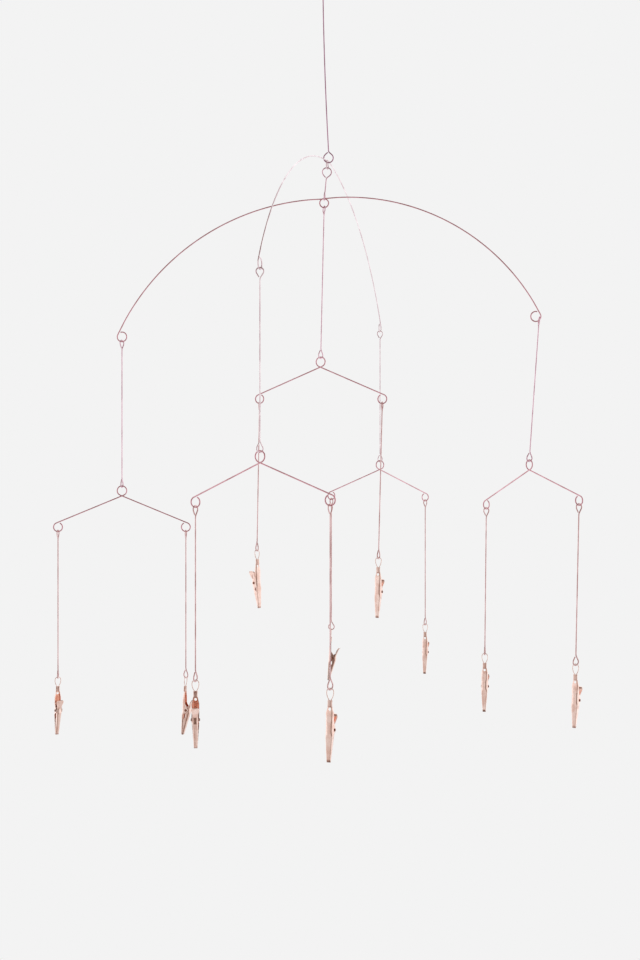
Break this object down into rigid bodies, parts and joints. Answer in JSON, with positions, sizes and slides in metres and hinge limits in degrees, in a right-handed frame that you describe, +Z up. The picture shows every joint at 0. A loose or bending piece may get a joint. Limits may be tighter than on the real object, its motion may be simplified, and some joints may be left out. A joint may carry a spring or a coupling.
{
  "type": "photo mobile",
  "caption": "Hanging photo mobile of bent copper wire: crossed arches carry V arms on hangers, and each arm end holds a sprung photo clip on a long wire.",
  "frame": {"origin": "middle of the eye at the top of the ceiling wire", "axes": "+Z up along the plumb line, -Y towards the viewer, +X to the viewer's right"},
  "size_m": [0.5186, 0.4764, 0.7594],
  "materials": {
    "copper_wire": "satin copper plate",
    "copper_clip": "bright rose copper plate",
    "copper_spring": "copper plated spring wire"
  },
  "bodies": {
    "ceiling_wire": {"ceiling_wire": "copper_wire"},
    "upper_arch": {"upper_arch": "copper_wire"},
    "link": {"link": "copper_wire"},
    "lower_arch": {"lower_arch": "copper_wire"},
    "hanger_centre": {"hanger_centre": "copper_wire"},
    "arm_centre": {"arm_centre": "copper_wire"},
    "clip_wire_centre_left": {"clip_wire_centre_left": "copper_wire"},
    "clip_centre_left": {"clip_base_centre_left": "copper_clip", "clip_spring_centre_left": "copper_spring"},
    "clip_lever_centre_left": {"clip_lever_centre_left": "copper_clip"},
    "clip_wire_centre_right": {"clip_wire_centre_right": "copper_wire"},
    "clip_centre_right": {"clip_base_centre_right": "copper_clip", "clip_spring_centre_right": "copper_spring"},
    "clip_lever_centre_right": {"clip_lever_centre_right": "copper_clip"},
    "hanger_left": {"hanger_left": "copper_wire"},
    "arm_left": {"arm_left": "copper_wire"},
    "clip_wire_left_left": {"clip_wire_left_left": "copper_wire"},
    "clip_left_left": {"clip_base_left_left": "copper_clip", "clip_spring_left_left": "copper_spring"},
    "clip_lever_left_left": {"clip_lever_left_left": "copper_clip"},
    "clip_wire_left_right": {"clip_wire_left_right": "copper_wire"},
    "clip_left_right": {"clip_base_left_right": "copper_clip", "clip_spring_left_right": "copper_spring"},
    "clip_lever_left_right": {"clip_lever_left_right": "copper_clip"},
    "hanger_right": {"hanger_right": "copper_wire"},
    "arm_right": {"arm_right": "copper_wire"},
    "clip_wire_right_left": {"clip_wire_right_left": "copper_wire"},
    "clip_right_left": {"clip_base_right_left": "copper_clip", "clip_spring_right_left": "copper_spring"},
    "clip_lever_right_left": {"clip_lever_right_left": "copper_clip"},
    "clip_wire_right_right": {"clip_wire_right_right": "copper_wire"},
    "clip_right_right": {"clip_base_right_right": "copper_clip", "clip_spring_right_right": "copper_spring"},
    "clip_lever_right_right": {"clip_lever_right_right": "copper_clip"},
    "hanger_front": {"hanger_front": "copper_wire"},
    "arm_front": {"arm_front": "copper_wire"},
    "clip_wire_front_left": {"clip_wire_front_left": "copper_wire"},
    "clip_front_left": {"clip_base_front_left": "copper_clip", "clip_spring_front_left": "copper_spring"},
    "clip_lever_front_left": {"clip_lever_front_left": "copper_clip"},
    "clip_wire_front_right": {"clip_wire_front_right": "copper_wire"},
    "clip_front_right": {"clip_base_front_right": "copper_clip", "clip_spring_front_right": "copper_spring"},
    "clip_lever_front_right": {"clip_lever_front_right": "copper_clip"},
    "hanger_back": {"hanger_back": "copper_wire"},
    "arm_back": {"arm_back": "copper_wire"},
    "clip_wire_back_left": {"clip_wire_back_left": "copper_wire"},
    "clip_back_left": {"clip_base_back_left": "copper_clip", "clip_spring_back_left": "copper_spring"},
    "clip_lever_back_left": {"clip_lever_back_left": "copper_clip"},
    "clip_wire_back_right": {"clip_wire_back_right": "copper_wire"},
    "clip_back_right": {"clip_base_back_right": "copper_clip", "clip_spring_back_right": "copper_spring"},
    "clip_lever_back_right": {"clip_lever_back_right": "copper_clip"}
  },
  "joints": [
    {"name": "upper_arch_swivel", "type": "hinge", "parent": "ceiling_wire", "child": "upper_arch", "pos_m": [0.00351, 0, -0.17626], "axis": [0, 0, 1], "range_deg": [-20, 20]},
    {"name": "link_swing", "type": "hinge", "parent": "upper_arch", "child": "link", "pos_m": [0.00435, 0, -0.18327], "axis": [0.279, 0.9603, 0], "range_deg": [-12, 12]},
    {"name": "lower_arch_swivel", "type": "hinge", "parent": "link", "child": "lower_arch", "pos_m": [0.00115, 0, -0.21442], "axis": [0, 0, 1], "range_deg": [-20, 20]},
    {"name": "hanger_swing_centre", "type": "hinge", "parent": "lower_arch", "child": "hanger_centre", "pos_m": [0.00115, 0, -0.2216], "axis": [0.9945, -0.1045, 0], "range_deg": [-20, 20]},
    {"name": "hanger_swing_left", "type": "hinge", "parent": "lower_arch", "child": "hanger_left", "pos_m": [-0.2048, 0.0225, -0.35306], "axis": [0.9945, -0.1045, 0], "range_deg": [-20, 20]},
    {"name": "hanger_swing_right", "type": "hinge", "parent": "lower_arch", "child": "hanger_right", "pos_m": [0.21347, -0.02317, -0.33443], "axis": [0.9945, -0.1045, 0], "range_deg": [-10, 10]},
    {"name": "hanger_swing_front", "type": "hinge", "parent": "upper_arch", "child": "hanger_front", "pos_m": [-0.05301, -0.19826, -0.31867], "axis": [0.279, 0.9603, 0], "range_deg": [-20, 20]},
    {"name": "hanger_swing_back", "type": "hinge", "parent": "upper_arch", "child": "hanger_back", "pos_m": [0.06721, 0.2002, -0.32132], "axis": [0.279, 0.9603, 0], "range_deg": [-20, 20]},
    {"name": "arm_swivel_centre", "type": "hinge", "parent": "hanger_centre", "child": "arm_centre", "pos_m": [-0.00231, 0, -0.37256], "axis": [0, 0, 1], "range_deg": [-30, 30]},
    {"name": "arm_swivel_left", "type": "hinge", "parent": "hanger_left", "child": "arm_left", "pos_m": [-0.2048, 0.0225, -0.50155], "axis": [0, 0, 1], "range_deg": [-30, 30]},
    {"name": "arm_swivel_right", "type": "hinge", "parent": "hanger_right", "child": "arm_right", "pos_m": [0.20209, -0.02317, -0.47583], "axis": [0, 0, 1], "range_deg": [-30, 30]},
    {"name": "arm_swivel_front", "type": "hinge", "parent": "hanger_front", "child": "arm_front", "pos_m": [-0.05301, -0.19826, -0.47117], "axis": [0, 0, 1], "range_deg": [-30, 30]},
    {"name": "arm_swivel_back", "type": "hinge", "parent": "hanger_back", "child": "arm_back", "pos_m": [0.06721, 0.2002, -0.47282], "axis": [0, 0, 1], "range_deg": [-30, 30]},
    {"name": "clip_wire_swing_front_left", "type": "hinge", "parent": "arm_front", "child": "clip_wire_front_left", "pos_m": [-0.10979, -0.1684, -0.51742], "axis": [0.8788, -0.4772, 0], "range_deg": [-25, 25]},
    {"name": "clip_swivel_front_left", "type": "hinge", "parent": "clip_wire_front_left", "child": "clip_front_left", "pos_m": [-0.10979, -0.1684, -0.66682], "axis": [0, 0, 1], "range_deg": [-25, 25]},
    {"name": "clip_squeeze_front_left", "type": "hinge", "parent": "clip_front_left", "child": "clip_lever_front_left", "pos_m": [-0.10971, -0.16982, -0.69927], "axis": [-0.9986, -0.0523, 0], "range_deg": [0, 26], "stiffness_Nm_per_rad": 0.15, "deforming": ["clip_spring_front_left"]},
    {"name": "clip_wire_swing_front_right", "type": "hinge", "parent": "arm_front", "child": "clip_wire_front_right", "pos_m": [0.00525, -0.22893, -0.5147], "axis": [0.8788, -0.4772, 0], "range_deg": [-25, 25]},
    {"name": "clip_swivel_front_right", "type": "hinge", "parent": "clip_wire_front_right", "child": "clip_front_right", "pos_m": [0.00525, -0.22893, -0.6631], "axis": [0, 0, 1], "range_deg": [-25, 25]},
    {"name": "clip_squeeze_front_right", "type": "hinge", "parent": "clip_front_right", "child": "clip_lever_front_right", "pos_m": [0.00576, -0.2276, -0.69555], "axis": [0.9336, -0.3584, 0], "range_deg": [0, 26], "stiffness_Nm_per_rad": 0.15, "deforming": ["clip_spring_front_right"]},
    {"name": "clip_wire_swing_right_right", "type": "hinge", "parent": "arm_right", "child": "clip_wire_right_right", "pos_m": [0.23872, -0.07908, -0.51762], "axis": [0.5373, -0.8434, 0], "range_deg": [-25, 25]},
    {"name": "clip_swivel_right_right", "type": "hinge", "parent": "clip_wire_right_right", "child": "clip_right_right", "pos_m": [0.23556, -0.07908, -0.66699], "axis": [0, 0, 1], "range_deg": [-25, 25]},
    {"name": "clip_squeeze_right_right", "type": "hinge", "parent": "clip_right_right", "child": "clip_lever_right_right", "pos_m": [0.23639, -0.07793, -0.69943], "axis": [0.809, -0.5878, 0], "range_deg": [0, 26], "stiffness_Nm_per_rad": 0.15, "deforming": ["clip_spring_right_right"]},
    {"name": "clip_wire_swing_left_left", "type": "hinge", "parent": "arm_left", "child": "clip_wire_left_left", "pos_m": [-0.2698, 0.02165, -0.54646], "axis": [1, 0, 0], "range_deg": [-25, 25]},
    {"name": "clip_swivel_left_left", "type": "hinge", "parent": "clip_wire_left_left", "child": "clip_left_left", "pos_m": [-0.2698, 0.02165, -0.69586], "axis": [0, 0, 1], "range_deg": [-25, 25]},
    {"name": "clip_squeeze_left_left", "type": "hinge", "parent": "clip_left_left", "child": "clip_lever_left_left", "pos_m": [-0.26909, 0.02042, -0.7283], "axis": [-0.866, -0.5, 0], "range_deg": [0, 26], "stiffness_Nm_per_rad": 0.15, "deforming": ["clip_spring_left_left"]},
    {"name": "clip_wire_swing_back_right", "type": "hinge", "parent": "arm_back", "child": "clip_wire_back_right", "pos_m": [0.1229, 0.23204, -0.51907], "axis": [0.8746, 0.4848, 0], "range_deg": [-25, 25]},
    {"name": "clip_swivel_back_right", "type": "hinge", "parent": "clip_wire_back_right", "child": "clip_back_right", "pos_m": [0.1229, 0.23204, -0.66748], "axis": [0, 0, 1], "range_deg": [-25, 25]},
    {"name": "clip_squeeze_back_right", "type": "hinge", "parent": "clip_back_right", "child": "clip_lever_back_right", "pos_m": [0.12331, 0.2334, -0.69992], "axis": [0.9563, -0.2924, 0], "range_deg": [0, 26], "stiffness_Nm_per_rad": 0.15, "deforming": ["clip_spring_back_right"]},
    {"name": "clip_wire_swing_centre_left", "type": "hinge", "parent": "arm_centre", "child": "clip_wire_centre_left", "pos_m": [-0.06453, 0.02174, -0.41598], "axis": [0.9397, -0.342, 0], "range_deg": [-25, 25]},
    {"name": "clip_swivel_centre_left", "type": "hinge", "parent": "clip_wire_centre_left", "child": "clip_centre_left", "pos_m": [-0.06718, 0.02174, -0.56636], "axis": [0, 0, 1], "range_deg": [-25, 25]},
    {"name": "clip_squeeze_centre_left", "type": "hinge", "parent": "clip_centre_left", "child": "clip_lever_centre_left", "pos_m": [-0.06817, 0.02276, -0.5988], "axis": [0.7193, 0.6947, 0], "range_deg": [0, 26], "stiffness_Nm_per_rad": 0.15, "deforming": ["clip_spring_centre_left"]},
    {"name": "clip_wire_swing_centre_right", "type": "hinge", "parent": "arm_centre", "child": "clip_wire_centre_right", "pos_m": [0.05818, -0.02111, -0.41893], "axis": [0.9397, -0.342, 0], "range_deg": [-25, 25]},
    {"name": "clip_swivel_centre_right", "type": "hinge", "parent": "clip_wire_centre_right", "child": "clip_centre_right", "pos_m": [0.05442, -0.02111, -0.57128], "axis": [0, 0, 1], "range_deg": [-25, 25]},
    {"name": "clip_squeeze_centre_right", "type": "hinge", "parent": "clip_centre_right", "child": "clip_lever_centre_right", "pos_m": [0.055, -0.01981, -0.60373], "axis": [0.9135, -0.4067, 0], "range_deg": [0, 26], "stiffness_Nm_per_rad": 0.15, "deforming": ["clip_spring_centre_right"]},
    {"name": "clip_wire_swing_left_right", "type": "hinge", "parent": "arm_left", "child": "clip_wire_left_right", "pos_m": [-0.1398, 0.02335, -0.54646], "axis": [1, 0, 0], "range_deg": [-25, 25]},
    {"name": "clip_swivel_left_right", "type": "hinge", "parent": "clip_wire_left_right", "child": "clip_left_right", "pos_m": [-0.1398, 0.02335, -0.69586], "axis": [0, 0, 1], "range_deg": [-25, 25]},
    {"name": "clip_squeeze_left_right", "type": "hinge", "parent": "clip_left_right", "child": "clip_lever_left_right", "pos_m": [-0.13846, 0.02286, -0.7283], "axis": [-0.342, -0.9397, 0], "range_deg": [0, 26], "stiffness_Nm_per_rad": 0.15, "deforming": ["clip_spring_left_right"]},
    {"name": "clip_wire_swing_right_left", "type": "hinge", "parent": "arm_right", "child": "clip_wire_right_left", "pos_m": [0.16751, 0.02953, -0.52374], "axis": [0.5373, -0.8434, 0], "range_deg": [-25, 25]},
    {"name": "clip_swivel_right_left", "type": "hinge", "parent": "clip_wire_right_left", "child": "clip_right_left", "pos_m": [0.16593, 0.02953, -0.67314], "axis": [0, 0, 1], "range_deg": [-25, 25]},
    {"name": "clip_squeeze_right_left", "type": "hinge", "parent": "clip_right_left", "child": "clip_lever_right_left", "pos_m": [0.16637, 0.03088, -0.70558], "axis": [0.9511, -0.309, 0], "range_deg": [0, 26], "stiffness_Nm_per_rad": 0.15, "deforming": ["clip_spring_right_left"]},
    {"name": "clip_wire_swing_back_left", "type": "hinge", "parent": "arm_back", "child": "clip_wire_back_left", "pos_m": [0.01004, 0.16754, -0.51635], "axis": [0.8746, 0.4848, 0], "range_deg": [-25, 25]},
    {"name": "clip_swivel_back_left", "type": "hinge", "parent": "clip_wire_back_left", "child": "clip_back_left", "pos_m": [0.01004, 0.16754, -0.66475], "axis": [0, 0, 1], "range_deg": [-25, 25]},
    {"name": "clip_squeeze_back_left", "type": "hinge", "parent": "clip_back_left", "child": "clip_lever_back_left", "pos_m": [0.01146, 0.16754, -0.6972], "axis": [0, -1, 0], "range_deg": [0, 26], "stiffness_Nm_per_rad": 0.15, "deforming": ["clip_spring_back_left"]}
  ]
}
